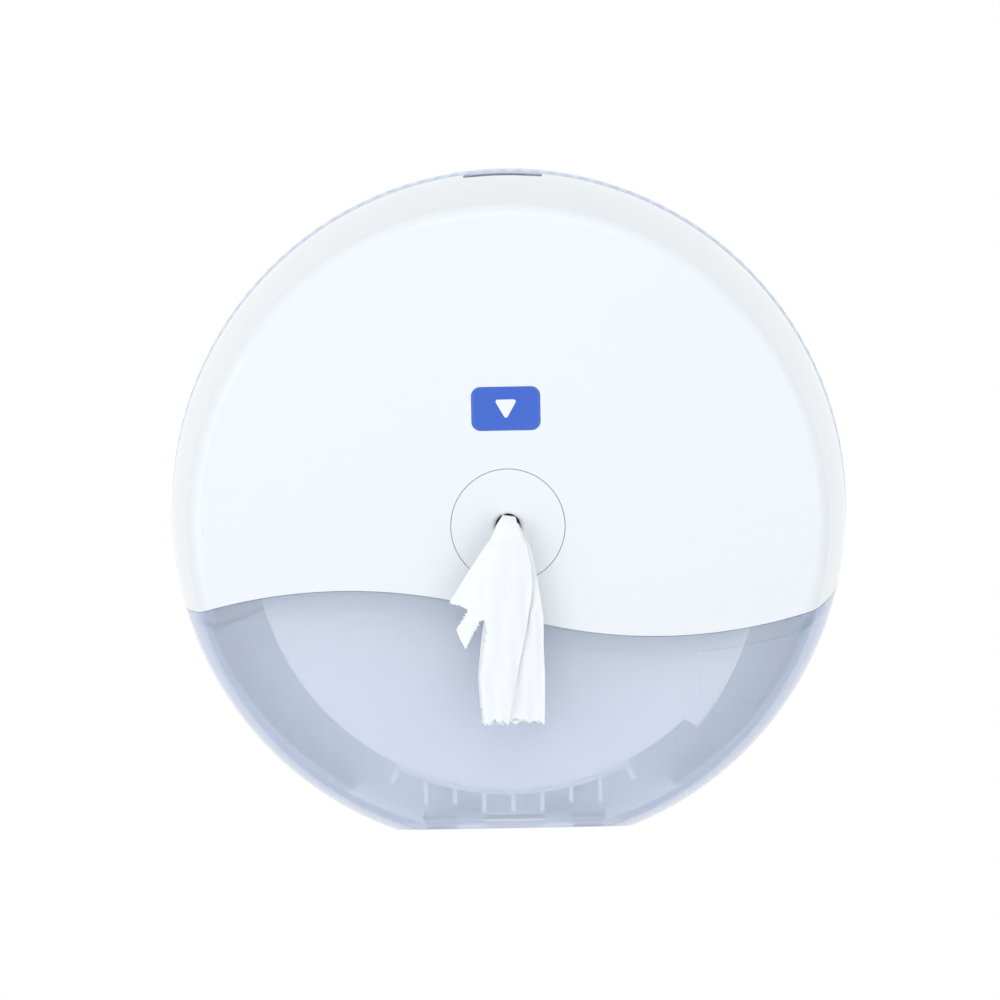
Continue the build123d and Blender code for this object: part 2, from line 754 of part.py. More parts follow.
# Gathered paper: a strand from the roll's bore to the nozzle, and the end that hangs out of it
strand_end = mouth_y + roll_back / 2
with BuildPart() as paper_strand:
    last_step = (0.5, roll_drop - 0.5, 0.0, neck_r, neck_r, 45.0)
    for x, rise, behind, half_w, half_t, turned in (*strand_steps, last_step):
        place = Plane(origin=(x, strand_end + behind, rise - roll_drop), x_dir=(1, 0, 0), z_dir=(0, -1, 0))
        add(folded_ring(place, half_w / (1 + fold_bulge), half_t / (1 + fold_bulge), turned))
    loft(ruled=True)
paper_strand.part.label = "paper_strand"
export_step(paper_strand.part, "parts/paper_strand.step")

with BuildPart() as paper_tail:
    out = crown_y - tail_front
    neck_steps = [
        (0.0, strand_end - tail_gap - out, 0.0, 0.0, neck_r, neck_r),
        (0.0, tail_front - neck_past, 0.0, 0.0, neck_r, neck_r),
    ]
    for x, back, z, tilt, half_w, half_t in (*neck_steps, *tail_steps):
        lean = radians(tilt)
        place = Plane(origin=(x, out + back, z), x_dir=(1, 0, 0), z_dir=(0, -cos(lean), -sin(lean)))
        add(folded_ring(place, half_w / (1 + fold_bulge), half_t / (1 + fold_bulge), 180 / folds))
    loft(ruled=True)
    with BuildSketch(facing_front(out + flap_t / 2)):
        with BuildLine():
            Polyline(*flap_outline, close=True)
        make_face()
    extrude(amount=flap_t)
paper_tail.part.label = "paper_tail"
export_step(paper_tail.part, "parts/paper_tail.step")
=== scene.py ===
# %% [markdown]
# A round wall dispenser for toilet paper that is pulled out of the middle of the roll.
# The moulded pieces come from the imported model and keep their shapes. This file gives them
# their finishes, and makes the soft things as surfaces worked out with numpy: the wound roll,
# the strand inside it and the sheet that hangs out of the nozzle.
# Everything is in metres: X to the right, Y into the wall, Z up, the front faces -Y.

import bmesh
import bpy
import numpy as np
from mathutils import Matrix, Vector


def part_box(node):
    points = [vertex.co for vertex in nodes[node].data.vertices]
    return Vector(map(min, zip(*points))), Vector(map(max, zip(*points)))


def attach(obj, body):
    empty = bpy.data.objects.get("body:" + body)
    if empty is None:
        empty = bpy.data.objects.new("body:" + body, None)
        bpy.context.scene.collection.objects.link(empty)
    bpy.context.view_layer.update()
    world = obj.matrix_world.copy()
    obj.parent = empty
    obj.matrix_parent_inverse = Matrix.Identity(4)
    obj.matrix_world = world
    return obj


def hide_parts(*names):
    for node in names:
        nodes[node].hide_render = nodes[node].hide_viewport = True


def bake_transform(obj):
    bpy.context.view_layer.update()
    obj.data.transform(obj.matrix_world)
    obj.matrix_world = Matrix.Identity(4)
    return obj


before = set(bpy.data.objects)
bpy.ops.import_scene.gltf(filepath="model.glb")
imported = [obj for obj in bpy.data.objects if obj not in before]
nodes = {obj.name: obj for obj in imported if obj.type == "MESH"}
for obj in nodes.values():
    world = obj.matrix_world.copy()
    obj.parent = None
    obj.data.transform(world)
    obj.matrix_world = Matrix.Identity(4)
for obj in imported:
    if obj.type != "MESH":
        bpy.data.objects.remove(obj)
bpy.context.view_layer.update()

# %% [markdown]
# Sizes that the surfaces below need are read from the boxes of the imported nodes, so that a
# soft piece always sits where its solid sits. A bore and a dome don't show in a box, so their
# radii are written here as the model has them.

# %% Places read from the model
roll_low, roll_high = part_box("toilet_roll")
roll_r = (roll_high[2] - roll_low[2]) / 2
roll_z = (roll_high[2] + roll_low[2]) / 2
roll_front_y = roll_low[1]
roll_back_y = roll_high[1]
bore_r = 0.030
crown_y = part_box("nozzle_disc")[0][1]
dome_r = 0.6486
neck_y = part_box("paper_tail")[1][1]
print("roll radius", round(roll_r, 4), "crown at", round(crown_y, 4))

# %% [markdown]
# A surface here is a grid of points: rows run one way along the piece and columns the other.
# The helper turns such a grid into a mesh in one call and can close it round its columns and
# across its two end rows.


# %% Grid to mesh
def grid_mesh(name, points, wrap=False, caps=False):
    """Mesh of a grid of points (rows, columns, 3); each cell is one quad.

    wrap joins the last column to the first, and caps closes the first and last rows with a fan."""
    rows, columns = points.shape[:2]
    index = np.arange(rows * columns).reshape(rows, columns)
    if wrap:
        index = np.concatenate([index, index[:, :1]], axis=1)
    quads = np.stack([index[:-1, :-1], index[:-1, 1:], index[1:, 1:], index[1:, :-1]], axis=-1)
    faces = quads.reshape(-1, 4).tolist()
    vertices = points.reshape(-1, 3)
    if caps:
        ends = np.stack([points[0].mean(axis=0), points[-1].mean(axis=0)])
        first, last = len(vertices), len(vertices) + 1
        vertices = np.concatenate([vertices, ends])
        around = index.shape[1] - 1
        faces += [[first, int(index[0, i + 1]), int(index[0, i])] for i in range(around)]
        faces += [[last, int(index[-1, i]), int(index[-1, i + 1])] for i in range(around)]
    mesh = bpy.data.meshes.new(name)
    mesh.from_pydata(vertices.tolist(), [], faces)
    mesh.shade_smooth()
    piece = bpy.data.objects.new(name, mesh)
    bpy.context.scene.collection.objects.link(piece)
    return piece


def finish_mesh(piece, material):
    """Turns every face outwards and gives the piece its material."""
    mesh = bmesh.new()
    mesh.from_mesh(piece.data)
    bmesh.ops.recalc_face_normals(mesh, faces=mesh.faces)
    mesh.to_mesh(piece.data)
    mesh.free()
    piece.data.materials.append(material)
    print(piece.name, len(piece.data.polygons), "faces")
    return piece


# %% [markdown]
# Every finish is a Principled shader with a little noise on Object coordinates, which stay with
# the piece when it moves. These helpers add one node each: the noise, its spread over a range
# and the bump made from it.

# %% Helpers for the finishes
noise_low, noise_high = 0.3, 0.7


def new_material(name):
    """Empty node material with its Principled shader and its Object coordinates."""
    material = bpy.data.materials.new(name)
    material.use_nodes = True
    tree = material.node_tree
    shader = tree.nodes["Principled BSDF"]
    coords = tree.nodes.new("ShaderNodeTexCoord")
    return material, tree, shader, coords.outputs["Object"]


def noise_on(tree, coords, cells, detail=2.0):
    """Noise texture; cells is how many it has to a metre, one number or one for each axis."""
    stretch = tree.nodes.new("ShaderNodeMapping")
    stretch.inputs["Scale"].default_value = (cells, cells, cells) if np.isscalar(cells) else cells
    tree.links.new(coords, stretch.inputs["Vector"])
    noise = tree.nodes.new("ShaderNodeTexNoise")
    noise.inputs["Scale"].default_value = 1.0
    noise.inputs["Detail"].default_value = detail
    tree.links.new(stretch.outputs["Vector"], noise.inputs["Vector"])
    return noise.outputs["Fac"]


def spread(tree, value, low, high):
    """Maps noise, which seldom leaves noise_low to noise_high, to the range from low to high."""
    node = tree.nodes.new("ShaderNodeMapRange")
    node.inputs["From Min"].default_value = noise_low
    node.inputs["From Max"].default_value = noise_high
    node.inputs["To Min"].default_value = low
    node.inputs["To Max"].default_value = high
    tree.links.new(value, node.inputs["Value"])
    return node.outputs["Result"]


def bump_from(tree, shader, height, distance, strength):
    """Bump of the given depth in metres."""
    bump = tree.nodes.new("ShaderNodeBump")
    bump.inputs["Strength"].default_value = strength
    bump.inputs["Distance"].default_value = distance
    tree.links.new(height, bump.inputs["Height"])
    tree.links.new(bump.outputs["Normal"], shader.inputs["Normal"])


# %% [markdown]
# Moulded plastic is never one flat value: its gloss wanders a little where the mould was
# polished, and a faint orange peel bends reflections. One function makes each plastic from its
# colour and gloss. White pieces have little shine, so that their sides keep a soft shade.

# %% Plastics
cloud_cells, wear_cells, peel_cells = 9.0, 45.0, 420.0
cloud_dark = 0.985
wear_range = 0.15
peel_depth, peel_strength = 0.00001, 0.4
plastic_ior = 1.49


def plastic(name, colour, gloss, shine=0.5):
    """Moulded plastic: even colour with a faint cloud, wandering roughness and orange peel."""
    material, tree, shader, coords = new_material(name)
    tint = tree.nodes.new("ShaderNodeMix")
    tint.data_type = "RGBA"
    tint.inputs["A"].default_value = (*[c * cloud_dark for c in colour], 1)
    tint.inputs["B"].default_value = (*colour, 1)
    tree.links.new(noise_on(tree, coords, cloud_cells), tint.inputs["Factor"])
    tree.links.new(tint.outputs["Result"], shader.inputs["Base Color"])
    wear = noise_on(tree, coords, wear_cells, detail=3.0)
    roughness = spread(tree, wear, gloss * (1 - wear_range), gloss * (1 + wear_range))
    tree.links.new(roughness, shader.inputs["Roughness"])
    bump_from(tree, shader, noise_on(tree, coords, peel_cells, detail=1.0), peel_depth, peel_strength)
    shader.inputs["IOR"].default_value = plastic_ior
    shader.inputs["Specular IOR Level"].default_value = shine
    return material


white_plastic = plastic("white_gloss", (0.865, 0.89, 0.91), 0.16, shine=0.2)
grey_plastic = plastic("grey_satin", (0.80, 0.85, 0.93), 0.42)
lock_plastic = plastic("lock_grey", (0.24, 0.29, 0.40), 0.6, shine=0.05)
print("plastics", white_plastic.name, grey_plastic.name, lock_plastic.name)

# %% [markdown]
# The window is plastic with a smoky blue dye and a slight haze. Seen straight on it is thin and
# pale, and lightens what lies behind it. Seen along its wall there is more dye in the way, so it
# closes and darkens towards its rim: the layer weight of the surface drives both its opacity and
# its colour.

# %% Smoked window
dye_colour, dye_deep = (0.78, 0.85, 0.99), (0.38, 0.47, 0.74)
straight_on, edge_on = 0.28, 0.9
closing_power = 3.0


def smoked(name, colour, deep, thin, thick):
    """Dyed plastic that goes from thin and its colour to thick and deep as it turns from the eye."""
    material = plastic(name, colour, 0.07, shine=0.08)
    tree = material.node_tree
    shader = tree.nodes["Principled BSDF"]
    weight = tree.nodes.new("ShaderNodeLayerWeight")
    weight.inputs["Blend"].default_value = 0.5
    turned_away = tree.nodes.new("ShaderNodeMath")
    turned_away.operation = "POWER"
    turned_away.inputs[1].default_value = closing_power
    tree.links.new(weight.outputs["Facing"], turned_away.inputs[0])
    opacity = tree.nodes.new("ShaderNodeMapRange")
    opacity.inputs["To Min"].default_value = thin
    opacity.inputs["To Max"].default_value = thick
    tree.links.new(turned_away.outputs[0], opacity.inputs["Value"])
    tree.links.new(opacity.outputs["Result"], shader.inputs["Alpha"])
    dye = tree.nodes.new("ShaderNodeMix")
    dye.data_type = "RGBA"
    tree.links.new(turned_away.outputs[0], dye.inputs["Factor"])
    tree.links.new(shader.inputs["Base Color"].links[0].from_socket, dye.inputs["A"])
    dye.inputs["B"].default_value = (*deep, 1)
    tree.links.new(dye.outputs["Result"], shader.inputs["Base Color"])
    return material


window_plastic = smoked("smoked_window", dye_colour, dye_deep, straight_on, edge_on)
print(window_plastic.name, "opacity", straight_on, "to", edge_on)

# %% [markdown]
# The rod, clips and screws are plated steel: a metal shader whose roughness is stretched along
# X, the way the drawn wire's faint scratches run.


# %% Steel
def steel(name):
    """Plated steel with fine drawn lines along X."""
    material, tree, shader, coords = new_material(name)
    shader.inputs["Base Color"].default_value = (0.56, 0.56, 0.57, 1)
    shader.inputs["Metallic"].default_value = 1.0
    lines = noise_on(tree, coords, (60.0, 2400.0, 2400.0))
    tree.links.new(spread(tree, lines, 0.22, 0.42), shader.inputs["Roughness"])
    return material


plated_steel = steel("plated_steel")
print(plated_steel.name)

# %% [markdown]
# Tissue is soft and white, lets a little light through and is creped: tiny ridges run across
# the web. The crepe is a stretched noise in the bump. On the roll's faces the layers show their
# cut edges, so there the noise is stretched another way and is flatter. The roll's tissue is the
# same white paper, but its colour is painted darker and bluer: painted shade, for the dim,
# blue-tinted light that reaches it inside the smoked window.


# %% Tissue
def tissue(name, colour, crepe_cells, crepe_depth):
    """Creped tissue; crepe_cells stretches the noise so that its ridges, crepe_depth high, cross the web."""
    material, tree, shader, coords = new_material(name)
    shader.inputs["Base Color"].default_value = (*colour, 1)
    shader.inputs["Roughness"].default_value = 0.9
    shader.inputs["Specular IOR Level"].default_value = 0.2
    shader.inputs["Subsurface Weight"].default_value = 0.12
    shader.inputs["Subsurface Radius"].default_value = (0.0016, 0.0014, 0.0013)
    shader.inputs["Subsurface Scale"].default_value = 1.0
    bump_from(tree, shader, noise_on(tree, coords, crepe_cells, detail=3.0), crepe_depth, 0.5)
    return material


white_tissue = tissue("white_tissue", (0.97, 0.98, 0.99), (300.0, 300.0, 1400.0), 0.0002)
# The roll's colour is painted shade: darker and bluer than the sheet, for the dim, blue-tinted light inside
# the window.
roll_tissue_painted_shade = tissue("roll_tissue_painted_shade", (0.91, 0.93, 0.97), (260.0, 1500.0, 260.0), 0.00008)
print("tissues", white_tissue.name, roll_tissue_painted_shade.name)

# %% [markdown]
# The moulded nodes keep their meshes and only change finish: white for the shell, nozzle and
# slider, smoked for the window, greys for the back, cradle and lock, and steel for the rest.

# %% Finishes on the moulded nodes
screws = ("cradle_screws", "window_screws", "nozzle_screws", "lock_screws")
finishes = {
    white_plastic: ("cover_shell", "nozzle_disc", "nozzle_funnel", "nozzle_ring", "lock_slider"),
    window_plastic: ("cover_window",),
    grey_plastic: ("back_plate", "roll_cradle"),
    lock_plastic: ("lock_housing", "lock_retainer"),
    plated_steel: ("hinge_rod", "rod_clips", *screws),
}
for material, names in finishes.items():
    for node in names:
        for slot in nodes[node].material_slots:
            slot.material = material
    print(material.name, "on", ", ".join(names))

# %% [markdown]
# The roll is one web of tissue wound hundreds of times on a spindle that was drawn out, which
# leaves the bore. Its end faces show the winding as fine spiral ridges, and its last turn
# hangs a little loose on the lower right. Both are small heights that are added to a plain
# cylinder.

# %% Ridges and loose turn of the roll
coarse_pitch, fine_pitch = 0.0046, 0.0017
coarse_high, fine_high = 0.00006, 0.00004
loose_from, loose_to = 8, 47
loose_high = 0.0060
loose_power = 1.35


def winding(radius, angle):
    """Height of the spiral ridges on an end face.

    It is the sum of a coarse and a fine sine along the radius. Each loses one wave a turn, which
    makes it a spiral, and a slower sine of the radius lets some turns stand higher than others."""
    step = angle / (2 * np.pi)
    coarse = np.sin(2 * np.pi * (radius / coarse_pitch - step)) * (0.6 + 0.4 * np.sin(radius * 260))
    fine = np.sin(2 * np.pi * (radius / fine_pitch - step)) * (0.5 + 0.5 * np.sin(radius * 610 + 1))
    return coarse_high * coarse + fine_high * fine


def loose_turn(angle):
    """How far the last turn stands off, with the angle measured down from the right.

    It is nothing as far as loose_from degrees, grows with a power of the way from there to its cut
    end at loose_to degrees, and is nothing again past the end."""
    down = -np.degrees(angle)
    rise = np.clip((down - loose_from) / (loose_to - loose_from), 0, 1)
    return loose_high * rise**loose_power * (down < loose_to)


print("loose turn stands off by", loose_high, "at", loose_to, "degrees")

# %% [markdown]
# The roll's surface is an outline, along the bore, over the front face, back along the outside
# and in over the back face, that is carried round the axis. The front face has the most points,
# because it shows through the window.

# %% The wound roll
roll_edge = 0.0012
loose_in_r = 0.090
ridge_fade = 0.004
turn = np.linspace(-np.pi, np.pi, 480, endpoint=False)[None, :]
face_r = np.linspace(bore_r + roll_edge, roll_r - roll_edge, 190)
bore_y = np.linspace(roll_back_y, roll_front_y, 24)
outer_y = np.linspace(roll_front_y + roll_edge, roll_back_y - roll_edge, 40)


def leg(radius, y, face):
    """One stretch of the outline as rows of radius, y and face: 1 in front, -1 at the back, else 0."""
    return np.stack(np.broadcast_arrays(radius, y, face), axis=1)


def roll_surface(outline, angle):
    """The outline carried round the roll's axis.

    A point's distance from the axis is its radius plus the loose turn, which comes in with the
    cube of the way from loose_in_r to the outside. Its depth is its y plus the ridges, which are
    on the two faces only and fade out just inside the outer edge."""
    radius, y, face = outline[:, :1], outline[:, 1:2], outline[:, 2:]
    outward = np.clip((radius - loose_in_r) / (roll_r - loose_in_r), 0, 1) ** 3
    reach = radius + loose_turn(angle) * outward
    ridges = winding(radius, angle) * face * np.clip((roll_r - radius) / ridge_fade, 0, 1)
    return np.stack([reach * np.cos(angle), y + ridges, reach * np.sin(angle) + roll_z], axis=-1)


roll_outline = np.concatenate(
    [
        leg(bore_r, bore_y, 0),
        leg(face_r, roll_front_y, 1),
        leg(roll_r, outer_y, 0),
        leg(face_r[::-5], roll_back_y, -1),
        leg(bore_r, [roll_back_y], 0),
    ]
)
wound_roll = grid_mesh("wound_roll", roll_surface(roll_outline, turn), wrap=True)
finish_mesh(wound_roll, roll_tissue_painted_shade)
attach(wound_roll, "housing")
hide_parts("toilet_roll")

# %% [markdown]
# From the bore the web runs to the nozzle as a loose rope: it is drawn off the innermost turn,
# gathers as it goes and twists.

# %% The strand inside
strand_rows, strand_columns = 70, 120
strand_stations = [
    (0.0190, -0.0451, -0.0194, 0.0056),
    (0.0140, -0.0661, -0.0149, 0.0050),
    (0.0060, -0.0901, -0.0050, 0.0044),
    (0.0005, -0.1161, -0.0005, 0.0040),
]


def smooth_path(stations, count):
    """Points on a smooth curve through the stations, evenly counted between them.

    Between two stations it is a cubic in the way gone, whose slope at each station is half the
    step from the station before to the one after."""
    knots = np.array(stations)
    at = np.linspace(0, len(knots) - 1, count)
    low = np.clip(at.astype(int), 0, len(knots) - 2)
    part = (at - low)[:, None]
    before = knots[np.clip(low - 1, 0, None)]
    after = knots[np.clip(low + 2, None, len(knots) - 1)]
    here, there = knots[low], knots[low + 1]
    square = 2 * before - 5 * here + 4 * there - after
    cube = 3 * here - before - 3 * there + after
    return here + 0.5 * part * ((there - before) + part * (square + part * cube))


def strand_surface(lane, along, around):
    """A lobed ring, upright and square to Y, carried along the lane of centres and radii.

    The ring's radius is the lane's, times 0.8 plus 0.2 of the size of a cosine that has nine folds
    a turn, plus a small fast sine. The folds and the ring itself turn as they go along."""
    folds = np.abs(np.cos(4.5 * around + 2.2 * along))
    reach = lane[:, 3:] * (0.80 + 0.20 * folds + 0.05 * np.sin(13 * around + 19 * along))
    spin = around + 1.1 * along
    x = lane[:, :1] + reach * np.cos(spin)
    z = lane[:, 2:3] + reach * np.sin(spin)
    return np.stack([x, np.broadcast_to(lane[:, 1:2], x.shape), z], axis=-1)


strand_points = strand_surface(
    smooth_path(strand_stations, strand_rows),
    np.linspace(0, 1, strand_rows)[:, None],
    np.linspace(0, 2 * np.pi, strand_columns, endpoint=False)[None, :],
)
strand = finish_mesh(grid_mesh("paper_rope", strand_points, wrap=True, caps=True), white_tissue)
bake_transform(strand)
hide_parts("paper_strand")

# %% [markdown]
# Outside the nozzle the web hangs as it was pulled: one sheet of tissue folded on itself seven
# times. Its front layer is a torn flap that stands off to the left, and behind it the folds share
# their left and right edges. A cloth simulation would find folds of its own, so these particular
# ones are drawn as lines: each row is one fold, its distance from the middle at the heights above.

# %% Fold lines of the sheet
layers = 7
fold_z = np.array([0.0, -7.0, -15.0, -22.0, -28.5, -36.0, -46.0, -58.0, -75.0]) / 1000
fold_x = (
    np.array(
        [
            [-3.0, -9.0, -14.4, -18.9, -23.0, -22.0, -18.0, -12.0, -10.5],
            [3.0, 7.0, 8.6, 9.0, 8.4, 7.0, 5.0, 2.4, -0.8],
            [-3.6, -5.0, -7.0, -8.6, -9.6, -10.0, -11.4, -12.6, -11.6],
            [4.2, 8.2, 10.0, 11.2, 12.1, 13.1, 12.9, 13.2, 12.9],
            [-3.4, -4.4, -5.8, -7.4, -8.4, -8.9, -9.4, -10.6, -10.4],
            [4.0, 7.4, 9.2, 10.4, 11.4, 12.0, 12.2, 12.4, 12.2],
            [-3.0, -4.0, -5.0, -6.4, -7.4, -7.9, -8.6, -9.6, -9.8],
            [1.6, 5.0, 6.6, 7.8, 8.4, 9.0, 9.4, 9.8, 10.4],
        ]
    )
    / 1000
)


def fold_to_fold(web, z):
    """X across the web at heights z: from one fold line to the next with half a cosine wave, so that
    the web slows down and turns round at each fold."""
    low_fold = np.clip(web.astype(int), 0, layers - 1)
    ease = 0.5 - 0.5 * np.cos(np.pi * (web - low_fold))
    lines = np.stack([np.interp(-z[:, 0], -fold_z, line) for line in fold_x], axis=1)
    here = np.take_along_axis(lines, np.repeat(low_fold, len(z), axis=0), axis=1)
    there = np.take_along_axis(lines, np.repeat(low_fold + 1, len(z), axis=0), axis=1)
    return here + (there - here) * ease


print(len(fold_x), "fold lines,", layers, "layers")

# %% [markdown]
# Down its length the web comes level out of the nozzle, turns over its lip and hangs. The nozzle
# is narrow, so in there the layers are pressed into a round bundle.

# %% The way out of the nozzle
lip_out = 0.006
lip_turn = 0.005
tail_drop = 0.0755
outlet_r = 0.0047
outlet_fade = 0.004
bundle_half, hang_half, end_half = 0.0045, 0.0030, 0.0024
settle = 0.012
level = abs(crown_y - lip_out + lip_turn - neck_y)
tail_length = level + lip_turn * np.pi / 2 + (tail_drop - lip_turn)


def hanging_path(down):
    """Y, Z and turn of the web's middle at a distance down the web: level, then a quarter circle of
    radius lip_turn, then straight down."""
    bend = np.clip((down - level) / lip_turn, 0, np.pi / 2)
    y = neck_y - np.minimum(down, level) - lip_turn * np.sin(bend)
    z = -lip_turn * (1 - np.cos(bend)) - np.clip(down - level - lip_turn * np.pi / 2, 0, None)
    return y, z, bend


def layer_height(down, web):
    """Place of a layer in the stack: it falls evenly from the front layer's to the last one's, in a
    stack that gets thinner once it is out of the nozzle."""
    half = np.interp(
        down, [0, level, level + settle, tail_length], [bundle_half, bundle_half, hang_half, end_half]
    )
    return half * (1 - 2 * web / layers)


def kept_in_outlet(side, stack, down):
    """X held within the outlet's circle at the layer's height, as long as the web is inside."""
    inside = np.clip(1 - (down - level) / outlet_fade, 0, 1)
    chord = np.sqrt(np.clip(outlet_r**2 - stack**2, 0, None))
    return side * (1 - inside) + np.clip(side, -chord, chord) * inside


print("sheet", round(float(tail_length), 4), "long,", round(float(level), 4), "of it in the nozzle")

# %% [markdown]
# Pulled tissue is crushed. Its crinkles have no one direction, so they are many sine waves whose
# directions come from a seeded draw. Larger pleats run down the web, its lower edge is torn, and
# the front layer stands off as a flap.

# %% Crinkles, pleats and torn edge
crinkle_waves, crinkle_high = 16, 0.00011
pleat_high, pleat_in = 0.00042, 0.03
ragged_high, ragged_share = 0.0006, 0.07
flap_high, flap_wide = 0.0012, 0.02
flap_start, flap_end, flap_fade = 0.004, 0.078, 0.02


def crinkles(side, down, web):
    """Sum of sine waves across and down the web, with random rates and starts."""
    draw = np.random.default_rng(7)
    total = 0 * side
    for _ in range(crinkle_waves):
        across_rate = draw.uniform(500, 1900)
        down_rate = draw.normal(0, 420)
        start = draw.uniform(0, 6.3)
        total = total + np.sin(side * across_rate + down * down_rate + start + 0.7 * web) / 4
    return total


def pleats(side, down):
    """Two sines across the web, the second finer and weaker, that lean a little on the way down."""
    return np.sin(side * 760 + down * 95 + 0.6) + 0.6 * np.sin(side * 1240 - down * 60)


def ragged_edge(down, web):
    """How far the lower edge hangs lower: three sines across the web, over its last few millimetres."""
    teeth = np.sin(web * 9.1) + np.sin(web * 23.7 + 1) + 0.7 * np.sin(web * 61 + 2)
    start = (1 - ragged_share) * tail_length
    return ragged_high * teeth * np.clip((down - start) / (ragged_share * tail_length), 0, 1)


def flap_off(side, down, web):
    """How far the flap stands off: most at the web's first edge and far to the left, none at the first
    fold, at the lip or at the lower end."""
    first = np.clip(1 - web, 0, 1)
    below = np.clip((down - level - flap_start) / flap_fade, 0, 1)
    above = np.clip((flap_end - down) / flap_fade, 0, 1)
    return flap_high * first * below * above * np.clip(-side / flap_wide, 0, 1)


print(crinkle_waves, "crinkle waves up to", crinkle_high, "high, pleats", pleat_high)

# %% [markdown]
# With these parts the sheet is one grid: down the web it follows the path through the nozzle,
# over the lip and down, and across the web it runs from fold to fold. Solidify gives the tissue
# its thickness later.

# %% The sheet that hangs out
rows, layer_columns = 240, 40
columns = layer_columns * layers + 1


def sheet_surface(down, web):
    """The folded web: a point lies on the path, sideways by its fold and off the path by its stack.

    The stack is the layer's height plus crinkles and pleats, which grow as the web leaves the
    nozzle, less the flap. It is laid off square to the path, which turns from level to hanging."""
    path_y, path_z, bend = hanging_path(down)
    stack = layer_height(down, web)
    side = kept_in_outlet(fold_to_fold(web, path_z), stack, down)
    hang = np.clip((down - level) / pleat_in, 0, 1)
    stack = stack + crinkle_high * crinkles(side, down, web) * (0.3 + 0.7 * hang)
    stack = stack + pleat_high * hang * pleats(side, down) - flap_off(side, down, web)
    z = path_z - ragged_edge(down, web) + stack * np.cos(bend)
    return np.stack([side, path_y - stack * np.sin(bend), z], axis=-1)


tail_points = sheet_surface(
    np.linspace(0, tail_length, rows)[:, None], np.linspace(0, layers, columns)[None, :]
)
tail = grid_mesh("hanging_sheet", tail_points)
print(tail.name, len(tail.data.polygons), "cells before the tear")

# %% [markdown]
# The flap is torn: the tissue between its tip, its lobe and the folds behind is missing, and so
# is a nick at the lower left. The first is taken out of the front layer and the second out of all
# layers, by the cells whose centres lie within an outline.

# %% The tear in the flap
flap_gap = [
    (-40, -29.2),
    (-23.0, -28.9),
    (-15.9, -31.3),
    (-20.9, -39.8),
    (-17.2, -46.8),
    (-10.8, -35.3),
    (-9.0, -37.7),
    (-12.0, -57.7),
    (-14.0, -60.0),
    (-40, -60),
]
low_nick = [(-40, -69.8), (-11.4, -69.8), (-11.4, -80), (-40, -80)]
tissue_thick = 0.00012


def within(points, outline):
    """True where points lie in the outline, given in millimetres: a line from such a point to the
    right crosses the outline an odd number of times."""
    x, z = points[:, 0:1], points[:, 2:3]
    a = np.array(outline) / 1000
    b = np.roll(a, -1, axis=0)
    spans = (a[None, :, 1] > z) != (b[None, :, 1] > z)
    rise = np.where(b[:, 1] == a[:, 1], 1e-9, b[:, 1] - a[:, 1])
    crossing = (b[:, 0] - a[:, 0]) * (z - a[None, :, 1]) / rise + a[:, 0]
    return (spans & (x < crossing)).sum(axis=1) % 2 == 1


corners = tail_points[:-1, :-1] + tail_points[:-1, 1:] + tail_points[1:, 1:] + tail_points[1:, :-1]
centres = corners.reshape(-1, 3) / 4
front_layer = np.tile(np.arange(columns - 1) < layer_columns, rows - 1)
gone = (front_layer & within(centres, flap_gap)) | within(centres, low_nick)
cut = bmesh.new()
cut.from_mesh(tail.data)
cut.faces.ensure_lookup_table()
bmesh.ops.delete(cut, geom=[cut.faces[i] for i in np.nonzero(gone)[0]], context="FACES")
cut.to_mesh(tail.data)
cut.free()
tail.data.materials.append(white_tissue)
thick = tail.modifiers.new("thickness", "SOLIDIFY")
thick.thickness = tissue_thick
print("hanging sheet", len(tail.data.polygons), "cells,", int(gone.sum()), "torn away")
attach(tail, "cover")
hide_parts("paper_tail")

# %% [markdown]
# The front carries a small sign: a plain blue tile with a white arrowhead that points down to
# the nozzle, where the paper is pulled. Both are thin films that follow the dome of the front.

# %% Films on the dome
film_steps = 14
film_under = 0.00005
film_middle = 0.001


def dome(x, z):
    """Y of the domed front at x, z: a sphere's cap round the middle."""
    return crown_y + dome_r - np.sqrt(dome_r**2 - x**2 - z**2)


def film(name, outline, place, proud, material):
    """Thin film on the dome that fills an outline and is closed at its rim and underneath.

    Its rings are the outline shrunk in even steps towards its middle. They lie proud of the dome,
    and one more ring at each end lies film_under inside it."""
    steps = np.concatenate([[0, 0], np.linspace(0, 1, film_steps), [1, 1]])[:, None]
    x = place[0] + outline[0] * (film_middle + (1 - film_middle) * steps)
    z = place[1] + outline[1] * (film_middle + (1 - film_middle) * steps)
    lift = np.full(steps.shape, proud)
    lift[0] = lift[-1] = -film_under
    points = np.stack([x, dome(x, z) - lift, z], axis=-1)
    points = np.concatenate([points, points[:1]], axis=0)
    piece = finish_mesh(grid_mesh(name, points, wrap=True), material)
    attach(piece, "cover")


# %% [markdown]
# Both outlines come from a circle: cut in four and pushed apart it is the tile with its round
# corners, and cut in three it is the arrowhead. The tile's points are spaced evenly afterwards,
# because a long straight side would cut through the dome.

# %% The sign
tile_at, arrow_at = (0.0, 0.0455), (0.0, 0.0464)
tile_half_w, tile_half_h, tile_corner = 0.0134, 0.0085, 0.0036
arrow_r, arrow_corner = 0.0036, 0.0008
tile_proud, arrow_proud = 0.00008, 0.00014
outline_points = 96


def rounded_outline(half_w, half_h, corner, count):
    """Even points round a rectangle with round corners: a circle cut in four and pushed apart."""
    a = np.linspace(0, 2 * np.pi, count, endpoint=False) + 0.001
    x = corner * np.cos(a) + (half_w - corner) * np.sign(np.cos(a))
    z = corner * np.sin(a) + (half_h - corner) * np.sign(np.sin(a))
    x, z = np.append(x, x[0]), np.append(z, z[0])
    way = np.append(0, np.cumsum(np.hypot(np.diff(x), np.diff(z))))
    even = np.linspace(0, way[-1], 2 * count, endpoint=False)
    return np.interp(even, way, x), np.interp(even, way, z)


